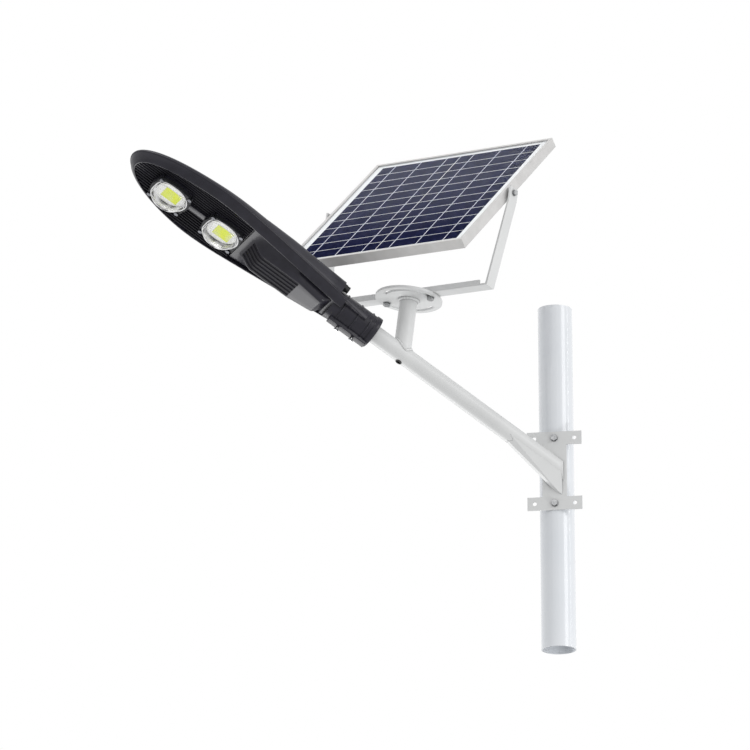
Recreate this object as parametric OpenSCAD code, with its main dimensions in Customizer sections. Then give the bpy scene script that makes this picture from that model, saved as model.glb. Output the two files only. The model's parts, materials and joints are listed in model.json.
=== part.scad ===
// Solar street lamp: a length of pole with a plate-mounted raking arm, a two-lens lamp head on the
// arm's end, and a solar panel in a tilting yoke on a slotted swivel plate. Millimetres, +Z up the
// pole, origin at the centre of the pole's lower end, arm running towards -X.

/* [Pole] */
// Outer diameter of the pole
pole_d = 57; // [56.5:0.1:58]
// Wall of the pole
pole_wall = 2.5; // [2:0.1:4]
// Length of the pole section
pole_len = 582; // [480:1:900]
// Inner diameter of the socket at the pole's lower end
socket_d = 53; // [52.5:0.1:54]
// Depth of the socket
socket_depth = 150; // [80:1:160]

/* [Mounting plate] */
// Turn of the plate's face from the arm's side, in degrees
plate_yaw = 31; // [24:1:60]
// Thickness of the plate
plate_t = 3; // [2.5:0.5:6]
// Height of the plate's middle on the pole
plate_z = 294.5; // [200:0.5:340]
// Distance between the two straps
strap_pitch = 111; // [90:1:150]
// Length of a strap from ear to ear
strap_len = 90; // [84:1:120]
// Height of a strap
strap_h = 22; // [18:1:30]
// Width of the web between the straps
web_w = 40; // [38:1:60]
// Distance of an ear hole from the middle
ear_hole_x = 33; // [28:1:40]
// Diameter of an ear hole
ear_hole_d = 7; // [5:0.5:10]
// Diameter of the two plate bolts
plate_bolt_d = 6; // [5:0.5:8]
// Length of a plate bolt under its head
plate_bolt_len = 20; // [14:1:26]

/* [Arm] */
// Outer diameter of the arm tube
arm_d = 30; // [29.5:0.5:33]
// Wall of the arm tube and the panel post
arm_wall = 2; // [1.5:0.1:3]
// Rise of the arm above the horizontal, in degrees
arm_rise = 30.6; // [10:0.2:40]
// Height at which the arm's axis meets the plate, above the plate's middle
arm_root_up = 3.5; // [0:0.5:8]
// Offset of the arm's root across the plate
arm_root_x = 5; // [0:0.5:8]
// Place of the arm's closed end across the plate
arm_end_x = 12.5; // [8:0.5:16]
// Distance from the root to the panel post, along the arm
post_at = 319; // [250:1:330]
// Distance from the root to the lamp head's collar, along the arm
collar_at = 377; // [365:1:460]
// Length of the arm's end inside the collar
arm_in_collar = 66; // [50:1:68]
// Thickness of the folded gusset under the arm
gusset_t = 3; // [2:0.5:4]
// Length of the gusset along the arm
gusset_len = 100; // [70:1:140]
// Depth of the gusset below the arm's axis at the plate
gusset_drop = 41; // [30:1:46]
// Diameter of the cable hole in the arm's underside
cable_hole_d = 11; // [8:0.5:14]

/* [Swivel] */
// Outer diameter of the panel post
post_d = 29; // [24:0.5:29]
// Height of the swivel plate above the arm's axis, along the post
post_h = 95; // [85:0.5:130]
// Lean of the post from upright, in degrees
post_lean = 7.4; // [0:0.2:14]
// Diameter of the swivel plate
disc_d = 110; // [104:1:130]
// Thickness of the swivel plate
disc_t = 4; // [3:0.5:6]
// Distance of the slots from the post's axis
slot_r = 43; // [38:0.5:46]
// Angle that each slot spans, in degrees
slot_span = 132; // [100:1:150]
// Diameter of the swivel bolts
swivel_bolt_d = 6; // [5:0.5:7]

/* [Yoke] */
// Turn of the yoke about the post, in degrees
yoke_yaw = -56; // [-90:1:-40]
// Width of the yoke's strip
yoke_w = 22; // [18:1:30]
// Thickness of the yoke's strip
yoke_t = 3; // [2.5:0.5:5]
// Height of the yoke's stiffening flange
yoke_flange_h = 10; // [8:1:14]
// Half of the yoke's length at its foot
yoke_foot = 158; // [140:1:172]
// Height of the panel's pivot above the yoke's foot
pivot_h = 162; // [150:1:190]
// Diameter of the pivot bolts
pivot_bolt_d = 5; // [4:0.5:5]

/* [Panel] */
// Length of each side of the square panel
panel_w = 350; // [346:1:360]
// Height of the panel's frame
panel_t = 17; // [16:0.5:25]
// Tilt of the panel from the swivel plate, in degrees
panel_tilt = 51; // [45:1:60]
// Wall of the frame's aluminium section
rail_wall = 1.5; // [1.2:0.1:2]
// Width of the frame's lip over the glass
rail_lip = 5; // [4.5:0.5:8]
// Thickness of the panel's glass
glass_t = 3.2; // [2.5:0.1:4]
// Width of a solar cell
cell_w = 156; // [150:1:158]
// Height of a solar cell
cell_h = 26; // [20:0.5:26.5]
// Spacing of the rows of cells
row_pitch = 27.2; // [26.8:0.1:27.6]
// Spacing of the two columns of cells
col_pitch = 159; // [158.5:0.1:162]
// Number of rows of cells
rows = 12; // [10:1:12]

/* [Lamp head] */
// Length of the head from the collar's end to the tip
head_len = 488; // [470:1:540]
// Half of the head's greatest width
head_half_w = 82; // [80:1:95]
// Length of the rounded tip, from the greatest width
tip_len = 172; // [160:1:180]
// Roll of the head on the arm, in degrees
head_roll = 6; // [-10:1:12]
// Rise of the head's tip above its parting line
tip_lift = 7; // [0:0.5:9]
// Depth of the body below the parting line
body_h = 14; // [12:0.5:18]
// Height of the top cover above the parting line
cover_h = 26; // [22:0.5:28]
// Wall of the castings
head_wall = 2.5; // [2:0.1:3.5]
// Outer diameter of the collar between its raised bands
collar_d = 52; // [48:0.5:56]
// Length of the collar
collar_len = 70; // [68:0.5:74]
// Depth of the driver tray below the parting line
tray_h = 25; // [22:0.5:30]
// Distance of the outer lens from the tip
lens_back = 88; // [84:1:92]
// Distance between the two lenses
lens_pitch = 103; // [96:1:106]
// Diameter of a lens dome
lens_d = 62; // [56:0.5:62.5]
// Height of a lens dome above its frame
dome_h = 22; // [14:0.5:26]
// Distance of a lens's flat side from its middle, towards the tip
lens_flat = 26; // [23:0.5:27]
// Spacing of the lens screws, both ways
lens_screw_pitch = 55; // [54:0.5:57]

/* [Hidden] */
$fn = 64;
// Clearance between parts that turn on each other, and between parts that seat
run = 0.05;
seat = 0.15;
far = 1400;

pole_r = pole_d / 2;
plate_front = pole_r + plate_t;
root_x = arm_root_x * cos(plate_yaw) - plate_front * sin(plate_yaw);
root_y = -arm_root_x * sin(plate_yaw) - plate_front * cos(plate_yaw);
arm_root_z = plate_z + arm_root_up;
post_x = root_x - post_at * cos(arm_rise);
post_z = arm_root_z + post_at * sin(arm_rise);

head_widest = head_len - tip_len;
lens_at = head_len - lens_back - lens_pitch;

// Heights in the panel from the middle of its frame, and of the pivots in the rails' hollow
rail_foot = 14;
shelf_w = 9;
fit_z = 0.2;
back_t = 0.5;
cell_t = 0.4;
top_z = panel_t / 2;
glass_z = top_z - rail_wall - fit_z - glass_t;
cell_z = glass_z - cell_t;
back_z = cell_z - back_t;
laminate_w = panel_w - 2 * rail_wall - 2 * fit_z;
pivot_drop = (panel_t / 2 - back_z) / 2;

// Sizes of the fasteners follow their bolt: head across corners, head height, washer, nut
function hex_d(d) = 1.85 * d;
function hex_h(d) = 0.65 * d;
washer_t = 1.2;
function washer_d(d) = 2 * d;

// Places on the assembly: the plate's face (-Y out), the arm (X outwards, Z up), the post,
// the yoke, the panel (Z out of its glass) and the lamp head (X from collar to tip)
module in_plate() { translate([0, 0, plate_z]) rotate([0, 0, -plate_yaw]) children(); }
module in_arm() { translate([root_x, root_y, arm_root_z]) rotate([0, arm_rise, 0]) rotate([0, 0, 180]) children(); }
module in_post() { translate([post_x, root_y, post_z]) rotate([0, post_lean, 0]) children(); }
module in_yoke() {
    in_post() translate([0, 0, post_h + disc_t + seat]) rotate([0, 0, yoke_yaw]) children();
}
module in_panel() {
    in_yoke() translate([0, 0, pivot_h]) rotate([panel_tilt, 0, 0]) translate([0, 0, pivot_drop]) children();
}
module in_head() { in_arm() translate([collar_at, 0, 0]) rotate([head_roll, 0, 0]) children(); }

module along_x() { rotate([0, 90, 0]) children(); }
module pipe(d, wall, h) {
    difference() {
        cylinder(d = d, h = h);
        translate([0, 0, -1]) cylinder(d = d - 2 * wall, h = h + 2);
    }
}
module washer(d, t = washer_t) { pipe(washer_d(d), (washer_d(d) - d) / 2 - run, t); }
module hex_head(d, h) { rotate([0, 0, 30]) cylinder(d = hex_d(d), h = h, $fn = 6); }
// A bolt whose head stands above z = 0 and whose shank runs down from it
module bolt(d, len) {
    hex_head(d, hex_h(d));
    translate([0, 0, -len]) cylinder(d = d, h = len + 0.01);
}
module nut(d) {
    difference() {
        hex_head(d, hex_h(d));
        translate([0, 0, -1]) cylinder(d = d + 2 * run, h = hex_h(d) + 2);
    }
}

// Pole and mounting plate
insert_d = plate_bolt_d + 4;
insert_len = 14;
module at_plate_bolts() {
    for (side = [-1, 1]) in_plate() translate([0, 0, side * strap_pitch / 2]) rotate([90, 0, 0]) children();
}
module pole() {
    color("whitesmoke") difference() {
        pipe(pole_d, pole_wall, pole_len);
        translate([0, 0, -1]) cylinder(d = socket_d, h = socket_depth + 1);
        at_plate_bolts() cylinder(d = insert_d, h = pole_d);
    }
}
// Blind rivet nuts in the pole's wall, which the plate bolts screw into
module rivet_nuts() {
    color("gainsboro") at_plate_bolts() difference() {
        translate([0, 0, pole_r - insert_len]) cylinder(d = insert_d - 2 * seat, h = insert_len - 1);
        cylinder(d = plate_bolt_d + 2 * run, h = pole_d);
    }
}
module mounting_plate() {
    color("lightgray") in_plate() rotate([90, 0, 0]) translate([0, 0, pole_r]) difference() {
        linear_extrude(plate_t) union() {
            square([web_w, strap_pitch + strap_h], center = true);
            for (side = [-1, 1]) translate([0, side * strap_pitch / 2]) square([strap_len, strap_h], center = true);
        }
        for (side = [-1, 1]) translate([0, side * strap_pitch / 2, -1]) {
            cylinder(d = plate_bolt_d + 2 * seat, h = plate_t + 2);
            for (ear = [-1, 1]) translate([ear * ear_hole_x, 0, 0]) cylinder(d = ear_hole_d, h = plate_t + 2);
        }
    }
}
module plate_washers() {
    color("silver") at_plate_bolts() translate([0, 0, plate_front]) washer(plate_bolt_d);
}
module plate_bolts() {
    color("silver") at_plate_bolts() translate([0, 0, plate_front + washer_t]) bolt(plate_bolt_d, plate_bolt_len);
}

// Arm
module before_plate(end) {
    in_plate() translate([end - far, -plate_front - far, -far / 2]) cube([far, far, far]);
}
arm_back = 80;
module arm_bar() { in_arm() along_x() translate([0, 0, -arm_back]) cylinder(d = arm_d, h = far); }
module arm_bore_hole() {
    in_arm() translate([post_at - 2, 0, 0]) rotate([180, 0, 0]) cylinder(d = cable_hole_d, h = arm_d);
}
module arm_tube() {
    arm_len = collar_at + arm_in_collar;
    color("gainsboro") difference() {
        intersection() {
            in_arm() along_x() translate([0, 0, -arm_back]) pipe(arm_d, arm_wall, arm_back + arm_len);
            before_plate(arm_end_x);
        }
        arm_bore_hole();
    }
}
// The plate that closes the arm at the pole
module arm_end_plate() {
    color("gainsboro") intersection() {
        arm_bar();
        in_plate() translate([arm_end_x, -plate_front - 2 * arm_d, -2 * arm_d]) cube([arm_wall, 2 * arm_d, 4 * arm_d]);
    }
}
// A bush in the cable hole, with a lip that follows the tube on both sides of its wall
module arm_grommet() {
    grommet_bore = cable_hole_d - 4;
    color("black") in_arm() translate([post_at - 2, 0, 0]) rotate([180, 0, 0]) difference() {
        translate([0, 0, arm_d / 2 - arm_wall - 1]) cylinder(d = cable_hole_d - 2 * seat, h = arm_wall + 1.8);
        cylinder(d = grommet_bore, h = arm_d);
    }
}
gusset_w = 0.87 * arm_d;
gusset_fold = 0.27 * arm_d;
// A wedge under the arm, half_top wide at the arm and half_fold wide at its lower edge, raised by lift
module gusset_form(half_top, half_fold, lift) {
    tail = [-gusset_drop * sin(arm_rise), -gusset_drop * cos(arm_rise)];
    behind = tail.x - 30;
    edge = [[gusset_len, 1 - arm_d / 2], tail, [behind, tail.y], [behind, -arm_d / 4], [gusset_len, -arm_d / 4]];
    half = [half_fold, half_fold, half_fold, half_top, half_top];
    points = [for (side = [1, -1], i = [0 : 4]) [edge[i].x, side * half[i], edge[i].y]];
    walls = [for (i = [0 : 4]) let (j = (i + 1) % 5) [j, j + 5, i + 5, i]];
    cheek = [[4, 1, 0], [4, 3, 1], [3, 2, 1]];
    in_arm() translate([0, 0, lift])
        polyhedron(points, concat(cheek, raised(turned(cheek), 5), walls), 4);
}
// A folded sheet that stiffens the arm's root from below: two cheeks and the fold between them
module arm_gusset() {
    color("gainsboro") intersection() {
        difference() {
            gusset_form(gusset_w / 2, gusset_fold / 2, 0);
            gusset_form(gusset_w / 2 - gusset_t, 0.4, 1.2 * gusset_t);
            arm_bar();
        }
        before_plate(arm_end_x);
    }
}

// Panel post and swivel plate
module panel_post() {
    color("gainsboro") difference() {
        in_post() pipe(post_d, arm_wall, post_h);
        arm_bar();
    }
}
slot_w = swivel_bolt_d + 1;
slot_lead = 8.5;
module swivel_plate() {
    color("gainsboro") in_post() translate([0, 0, post_h]) difference() {
        cylinder(d = disc_d, h = disc_t);
        for (side = [0, 180]) rotate([0, 0, yoke_yaw + slot_lead - slot_span + side]) translate([0, 0, -1])
            rotate_extrude(angle = slot_span) translate([slot_r - slot_w / 2, 0]) square([slot_w, disc_t + 2]);
    }
}
module at_swivel_bolts() { for (side = [-1, 1]) in_yoke() translate([side * slot_r, 0, 0]) children(); }
under_disc = -disc_t - 2 * seat;
module swivel_washers() {
    color("silver") at_swivel_bolts() translate([0, 0, under_disc - washer_t]) washer(swivel_bolt_d);
}
module swivel_bolts() {
    grip = disc_t + 2 * seat + washer_t + yoke_t + hex_h(swivel_bolt_d) + 2;
    color("silver") at_swivel_bolts() translate([0, 0, under_disc - washer_t]) mirror([0, 0, 1])
        bolt(swivel_bolt_d, grip);
}
module swivel_nuts() { color("silver") at_swivel_bolts() translate([0, 0, yoke_t]) nut(swivel_bolt_d); }

// Yoke: an angle strip bent into a U, its flange cut away at the two bends
pivot_gap = 4.2;
yoke_in = panel_w / 2 + pivot_gap + 2 * seat;
tab_drop = 12;
tab_rise = 9;
module yoke_strip() {
    half = [[0, 0], [yoke_foot, 0], [yoke_in + yoke_t, pivot_h - tab_drop], [yoke_in + yoke_t, pivot_h + tab_rise],
        [yoke_in, pivot_h + tab_rise], [yoke_in, pivot_h - tab_drop], [yoke_foot - yoke_t, yoke_t], [0, yoke_t]];
    for (side = [0, 1]) mirror([side, 0, 0]) polygon(half);
}
module panel_yoke() {
    flange_len = 2 * (yoke_foot - 15);
    color("lightgray") in_yoke() difference() {
        union() {
            rotate([90, 0, 0]) translate([0, 0, -yoke_w / 2]) linear_extrude(yoke_w) yoke_strip();
            translate([-flange_len / 2, -yoke_w / 2, 0]) cube([flange_len, yoke_t, yoke_flange_h]);
        }
        for (side = [-1, 1]) translate([side * slot_r, 0, -1]) cylinder(d = swivel_bolt_d + 2 * run, h = yoke_t + 2);
        translate([-far / 2, 0, pivot_h]) along_x() cylinder(d = pivot_bolt_d + 4 * run, h = far);
    }
}

// Panel: four mitred rails round a laminate of glass, cells and backsheet
module rail_section() {
    low = -top_z;
    polygon([[0, low], [rail_foot, low], [rail_foot, low + rail_wall], [rail_wall, low + rail_wall],
        [rail_wall, back_z - rail_wall], [shelf_w, back_z - rail_wall], [shelf_w, back_z], [rail_wall, back_z],
        [rail_wall, top_z - rail_wall], [rail_lip, top_z - rail_wall], [rail_lip, top_z], [0, top_z]]);
}
// A rail along X whose outer face is at y = -panel_w / 2, cut at 45 degrees at both ends
module rail() {
    half = panel_w / 2;
    reach = rail_foot + 6;
    intersection() {
        translate([-half, -half, 0]) rotate([90, 0, 90]) linear_extrude(panel_w) rail_section();
        translate([0, 0, -panel_t]) linear_extrude(2 * panel_t)
            polygon([[-half, -half], [half, -half], [half - reach, -half + reach], [-half + reach, -half + reach]]);
    }
}
module panel_rail(turn) { color("silver") in_panel() rotate([0, 0, turn]) rail(); }
module side_rail(turn) {
    color("silver") in_panel() difference() {
        rotate([0, 0, turn]) rail();
        translate([-panel_w, 0, -pivot_drop]) along_x() cylinder(d = pivot_bolt_d + 2 * run, h = 2 * panel_w);
    }
}
module lower_rail() { panel_rail(0); }
module upper_rail() { panel_rail(180); }
module right_rail() { side_rail(90); }
module left_rail() { side_rail(-90); }
module panel_glass() {
    color("lightsteelblue") in_panel() translate([-laminate_w / 2, -laminate_w / 2, glass_z])
        cube([laminate_w, laminate_w, glass_t]);
}
module solar_cells() {
    color("midnightblue") in_panel() for (col = [-0.5, 0.5], row = [0 : rows - 1])
        translate([col * col_pitch - cell_w / 2, (row - (rows - 1) / 2) * row_pitch - cell_h / 2, cell_z])
            cube([cell_w, cell_h, cell_t]);
}
module backsheet() {
    color("white") in_panel() translate([-laminate_w / 2, -laminate_w / 2, back_z])
        cube([laminate_w, laminate_w, back_t]);
}

// Junction box under the panel's upper half, with its lid and cable gland
box_size = [96, 64, 16];
box_y = 96;
box_wall = 2;
lid_t = 2.5;
box_gland_d = 14;
module junction_box() {
    color("black") in_panel() translate([0, box_y, back_z - box_size.z]) difference() {
        translate([-box_size.x / 2, -box_size.y / 2, 0]) cube(box_size);
        translate([-box_size.x / 2 + box_wall, -box_size.y / 2 + box_wall, -1])
            cube([box_size.x - 2 * box_wall, box_size.y - 2 * box_wall, box_size.z - box_wall + 1]);
        translate([0, 0, box_size.z / 2]) rotate([90, 0, 0]) cylinder(d = box_gland_d - 4, h = box_size.y);
    }
}
module junction_lid() {
    color("black") in_panel() translate([-box_size.x / 2, box_y - box_size.y / 2, back_z - box_size.z - lid_t])
        cube([box_size.x, box_size.y, lid_t]);
}
module junction_gland() {
    neck = box_gland_d - 4 - 2 * run;
    color("black") in_panel() translate([0, box_y - box_size.y / 2, back_z - box_size.z / 2]) rotate([90, 0, 0])
        difference() {
            union() {
                translate([0, 0, -box_wall - 2]) cylinder(d = neck, h = 6);
                cylinder(d = box_gland_d, h = 5, $fn = 6);
                translate([0, 0, 4]) cylinder(d = box_gland_d - 2, h = 9);
            }
            translate([0, 0, -10]) cylinder(d = 5, h = 40);
        }
}
module at_pivots() {
    for (side = [0, 180]) in_panel() rotate([0, 0, side]) translate([panel_w / 2, 0, -pivot_drop]) along_x() children();
}
pivot_head = pivot_gap + yoke_t + washer_t + 4 * seat;
module pivot_washers() {
    color("silver") at_pivots() {
        translate([0, 0, seat]) washer(pivot_bolt_d, pivot_gap);
        translate([0, 0, pivot_head - washer_t]) washer(pivot_bolt_d);
    }
}
module pivot_bolts() {
    grip = pivot_head + rail_wall + hex_h(pivot_bolt_d) + 1.5;
    color("silver") at_pivots() translate([0, 0, pivot_head]) bolt(pivot_bolt_d, grip);
}
module pivot_nuts() {
    color("silver") at_pivots() translate([0, 0, -rail_wall - hex_h(pivot_bolt_d)]) nut(pivot_bolt_d);
}

// Lamp head. Half of its width at a distance x from the collar's end: it spreads from the collar
// to the widest point, and is a quarter of an ellipse from there to the tip
neck_half = collar_d / 2 + 2;
neck_at = 20;
function spread(x) = 1 - pow(max(0, 1 - (x - neck_at) / (head_widest - neck_at)), 1.1);
function half_at(x) = neck_half + (head_half_w - neck_half) * spread(x);
// Height of the top cover along the head, as shares of cover_h, and how far its shoulders draw in
function crown_at(x) = cover_h * lookup(x / head_len, [[0.2, 1], [0.4, 0.86], [0.54, 0.6], [0.71, 0.38], [1, 0.22]]);
function shoulder_at(x) = lookup(x / head_len, [[0.2, 0.4], [0.54, 1]]);
function lift_at(x) = tip_lift * pow(max(0, x / head_len - 0.7) / 0.3, 2);
rear_steps = 9;
tip_steps = 12;
least_half = 3;
// One side of the head's plan, drawn in by inset, from x = rear to the tip
function plan_side(inset, rear) = concat(
    [for (i = [0 : rear_steps - 1]) let (x = rear + (head_widest - rear) * i / rear_steps)
        [x, max(half_at(x) - inset, least_half)]],
    [for (i = [0 : tip_steps - 1]) let (a = 90 * i / tip_steps)
        [head_widest + (head_len - inset - head_widest) * sin(a), (head_half_w - inset) * cos(a)]],
    [[head_len - inset, 0]]);
function flipped(side) = [for (i = [len(side) - 2 : -1 : 0]) [side[i].x, -side[i].y]];
function plan(inset, rear) = let (side = plan_side(inset, rear)) concat(side, flipped(side));
function at_height(points, z) = [for (p = points) [p.x, p.y, z + lift_at(p.x)]];
// Side walls between rings of n points, listed from the top down
function ring_walls(n, rings) = [for (k = [0 : rings - 2], i = [0 : n - 1]) let (j = (i + 1) % n, a = k * n)
    each [[a + i, a + n + j, a + j], [a + i, a + n + i, a + n + j]]];
function roof(n, from) = let (mid = (n - 1) / 2) concat([for (i = [0 : mid - 2])
    each [[from + i, from + i + 1, from + n - 1 - i], [from + n - 1 - i, from + i + 1, from + n - 2 - i]]],
    [[from + mid - 1, from + mid, from + mid + 1]]);
function raised(faces, by) = [for (f = faces) [for (i = f) i + by]];
function turned(faces) = [for (f = faces) [for (i = [len(f) - 1 : -1 : 0]) f[i]]];
// A solid through plans given as [height, inset] from the top down, all from the same rear end
module head_form(levels, rear) {
    n = len(plan(0, rear));
    last = len(levels) - 1;
    points = [for (l = levels) each at_height(plan(l[1], rear), l[0])];
    caps = concat(roof(n, 0), turned(roof(n, last * n)));
    polyhedron(points, concat(ring_walls(n, last + 1), caps), 4);
}
module head_prism(inset, rear, low, high) {
    translate([0, 0, low]) linear_extrude(high - low) polygon(plan(inset, rear));
}
// The cover's dome: one closed shell whose rings are given as [share of the crown, inset]
function dome_ring(ring, rear, wall) = [for (p = plan(0, rear)) let (draw = ring[1] * shoulder_at(p.x) + wall,
    tip = head_len - head_widest)
    [p.x > head_widest ? head_widest + (p.x - head_widest) * (tip - draw) / tip : max(p.x, rear + wall),
        p.y * max(0.12, 1 - draw / half_at(min(p.x, head_widest))),
        lift_at(p.x) + (ring[0] == 0 ? seat : max(ring[0] * crown_at(p.x) - wall, 2 * ring[0]))]];
module dome_shell(rings, rear, wall) {
    n = len(plan(0, rear));
    count = len(rings);
    skin = concat(ring_walls(n, count), roof(n, 0));
    foot = [for (i = [0 : n - 1]) let (j = (i + 1) % n, a = (count - 1) * n, b = a + count * n)
        each [[a + i, b + j, a + j], [a + i, b + i, b + j]]];
    points = concat([for (ring = rings) each dome_ring(ring, rear, 0)],
        [for (ring = rings) each dome_ring(ring, rear, wall)]);
    polyhedron(points, concat(skin, turned(raised(skin, count * n)), foot), 4);
}

body_rear = collar_len + 2;
bulkhead = 14;
bay_rear = body_rear + bulkhead;
floor_t = 6;
recess_inset = 15;
lenses = [lens_at, lens_at + lens_pitch];
ped_w = lens_screw_pitch + 10;
ped_corner = 14;
bay = [bay_rear + 5, lens_at - ped_w / 2 - 8];
bay_half = [half_at(bay[0]) - 26, half_at(bay[1]) - 26];
tray_lap = [4, 9];
collar_bore = arm_d + 2 * run;
// Raised bands round the collar as [place, width], its side ribs, and the pad that takes the set bolts
band_h = 1.2;
collar_bands = [[0, 10], [0.23 * collar_len, 3], [0.557 * collar_len, 3], [0.94 * collar_len, 3]];
side_rib = [0.39 * collar_len, 6];
side_rib_h = 4;
pad_w = 14;
pad_low = collar_d / 2 + 5;
pad_at = [3, body_rear + 4];
collar_bolt_d = 5;
collar_bolt_x = [0.385 * collar_len, 0.8 * collar_len];
collar_bolt_out = 5.5;
wire_hole = 10;

module ped_outline(grow = 0) {
    half = ped_w / 2 + grow - ped_corner;
    circle(d = lens_d + 9 + 2 * grow);
    square([2 * half, 2 * (half + ped_corner)], center = true);
    square([2 * (half + ped_corner), 2 * half], center = true);
    for (x = [-1, 1], y = [-1, 1]) translate([x * half, y * half]) circle(r = ped_corner);
}
module bay_outline(grow_x, grow_y) {
    polygon([[bay[0] - grow_x, -bay_half[0] - grow_y], [bay[1] + grow_x, -bay_half[1] - grow_y],
        [bay[1] + grow_x, bay_half[1] + grow_y], [bay[0] - grow_x, bay_half[0] + grow_y]]);
}
module at_lens_screws() {
    step = lens_screw_pitch / 2;
    for (l = lenses, x = [-1, 1], y = [-1, 1]) in_head() translate([l + x * step, y * step, 0]) children();
}
cover_screw_d = 4;
cover_screw_x = [0.3, 0.52];
cover_screw_in = 7;
module at_cover_screws() {
    for (share = cover_screw_x, y = [-1, 1]) let (x = share * head_len) translate([x, y * (half_at(x) - cover_screw_in), 0])
        children();
}
tray_screw_in = 20;
module at_tray_screws() {
    for (i = [0, 1], y = [-1, 1]) let (x = i == 0 ? bay[0] + tray_screw_in : bay[1] - tray_screw_in,
        half = bay_half[0] + (bay_half[1] - bay_half[0]) * (x - bay[0]) / (bay[1] - bay[0]))
        translate([x, y * (half + tray_lap.y / 2), 0]) children();
}
lens_screw_d = 4;
tray_screw_d = 3;
fin_pitch = 6.5;
fin_t = 2.6;
fin_count = 10;
// One cooling fin along the head, whose lower edge rises with the tip
module fin(low) {
    root = -floor_t + 0.5;
    from = bay[1] + tray_lap.x + 2;
    low_edge = [for (share = [1, 0.96, 0.92, 0.88, 0.84, 0.8, 0.75, 0.7]) let (x = share * head_len)
        [x, min(root - 0.2, low + lift_at(x))]];
    rotate([90, 0, 0]) translate([0, 0, -fin_t / 2]) linear_extrude(fin_t)
        polygon(concat([[from, root], [head_len, root]], low_edge, [[from, low]]));
}
// Collar of the cast body: a banded socket for the arm, with a rib along each side and a pad below
module collar_form() {
    along_x() cylinder(d = collar_d, h = bay_rear);
    for (band = collar_bands) translate([band[0], 0, 0]) along_x() cylinder(d = collar_d + 2 * band_h, h = band[1]);
    rear = collar_d / 2 + side_rib_h;
    front = half_at(body_rear) - 2;
    translate([0, 0, -side_rib[1] / 2]) linear_extrude(side_rib[1]) polygon([[side_rib[0], -rear],
        [body_rear + 3, -front], [body_rear + 3, front], [side_rib[0], rear]]);
    translate([pad_at[0], -pad_w / 2, -pad_low]) cube([pad_at[1] - pad_at[0], pad_w, pad_low]);
}
// Cast body: bevelled rim, finned floor, lens pedestals and the collar
module head_body() {
    color([0.15, 0.15, 0.16]) in_head() difference() {
        union() {
            difference() {
                head_form([[0, 0], [-0.15 * body_h, 0], [-0.65 * body_h, 5], [-body_h, 13]], body_rear);
                head_prism(recess_inset, bay_rear, -body_h - 1, -floor_t);
            }
            intersection() {
                head_prism(recess_inset - 0.5, bay_rear, -body_h + 1, -floor_t + 0.5);
                for (k = [-fin_count : fin_count]) translate([0, k * fin_pitch, 0]) fin(-body_h + 1);
            }
            for (l = lenses) translate([l, 0, -body_h]) linear_extrude(body_h - floor_t + 0.5) ped_outline();
            translate([lens_at, -fin_pitch, -body_h]) cube([lens_pitch, 2 * fin_pitch, body_h - floor_t + 0.5]);
            collar_form();
            translate([body_rear, 4 - collar_d / 2, -body_h + 2]) cube([bulkhead, collar_d - 8, body_h]);
        }
        translate([-1, 0, 0]) along_x() cylinder(d = collar_bore, h = arm_in_collar + 2);
        along_x() cylinder(d = wire_hole, h = bay_rear + 10);
        translate([0, 0, -body_h]) linear_extrude(far) bay_outline(0, 0);
        for (x = collar_bolt_x) translate([x, 0, -far / 2]) cylinder(d = collar_bolt_d + 2 * run, h = far / 2);
        for (l = lenses) translate([l, 0, -body_h]) screw_holes(body_h - 4);
        at_cover_screws() translate([0, 0, -0.6 * body_h]) cylinder(d = cover_screw_d + 2 * run, h = body_h);
        at_tray_screws() translate([0, 0, -body_h]) cylinder(d = tray_screw_d + 2 * run, h = 2 * body_h);
    }
}
// Set bolts that press on the arm inside the collar
module collar_bolts() {
    seat_z = pad_low + collar_bolt_out;
    color("silver") in_head() for (x = collar_bolt_x) translate([x, 0, -seat_z]) mirror([0, 0, 1])
        bolt(collar_bolt_d, seat_z - collar_bore / 2 - seat);
}

// Top cover: a domed casting, high over the battery bay and low over the lenses
cover_rear = bay_rear + seat;
cover_well = 8;
gland_y = 27;
gland_z = 0.78 * cover_h;
gland_d = 15;
gland_neck = 10;
module top_cover() {
    rings = [[1.08, 26], [0.94, 13], [0.72, 5], [0.3, 1.5], [0, 0.5]];
    color([0.13, 0.13, 0.14]) in_head() difference() {
        union() {
            dome_shell(rings, cover_rear, head_wall);
            at_cover_screws() translate([0, 0, seat]) cylinder(d = 2.6 * cover_screw_d, h = cover_well + 2);
        }
        at_cover_screws() {
            translate([0, 0, -1]) cylinder(d = cover_screw_d + 2 * run, h = far);
            translate([0, 0, cover_well]) cylinder(d = 2.1 * cover_screw_d, h = far);
        }
        translate([0, gland_y, gland_z]) along_x() cylinder(d = gland_neck + 2 * run, h = cover_rear + 2 * head_wall);
    }
}
module cover_screws() {
    color("dimgray") in_head() at_cover_screws() {
        translate([0, 0, cover_well]) cylinder(d = 1.9 * cover_screw_d, h = 0.7 * cover_screw_d);
        translate([0, 0, -0.5 * body_h]) cylinder(d = cover_screw_d, h = cover_well + 0.5 * body_h + 0.01);
    }
}
module cable_gland() {
    color([0.1, 0.1, 0.1]) in_head() translate([cover_rear, gland_y, gland_z]) rotate([0, -90, 0]) difference() {
        union() {
            translate([0, 0, -head_wall - 4]) cylinder(d = gland_neck, h = head_wall + 5);
            cylinder(d = gland_d, h = 5, $fn = 6);
            translate([0, 0, 4.9]) cylinder(d = gland_d - 3, h = 6);
        }
        translate([0, 0, -12]) cylinder(d = 6, h = 40);
    }
}

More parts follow.
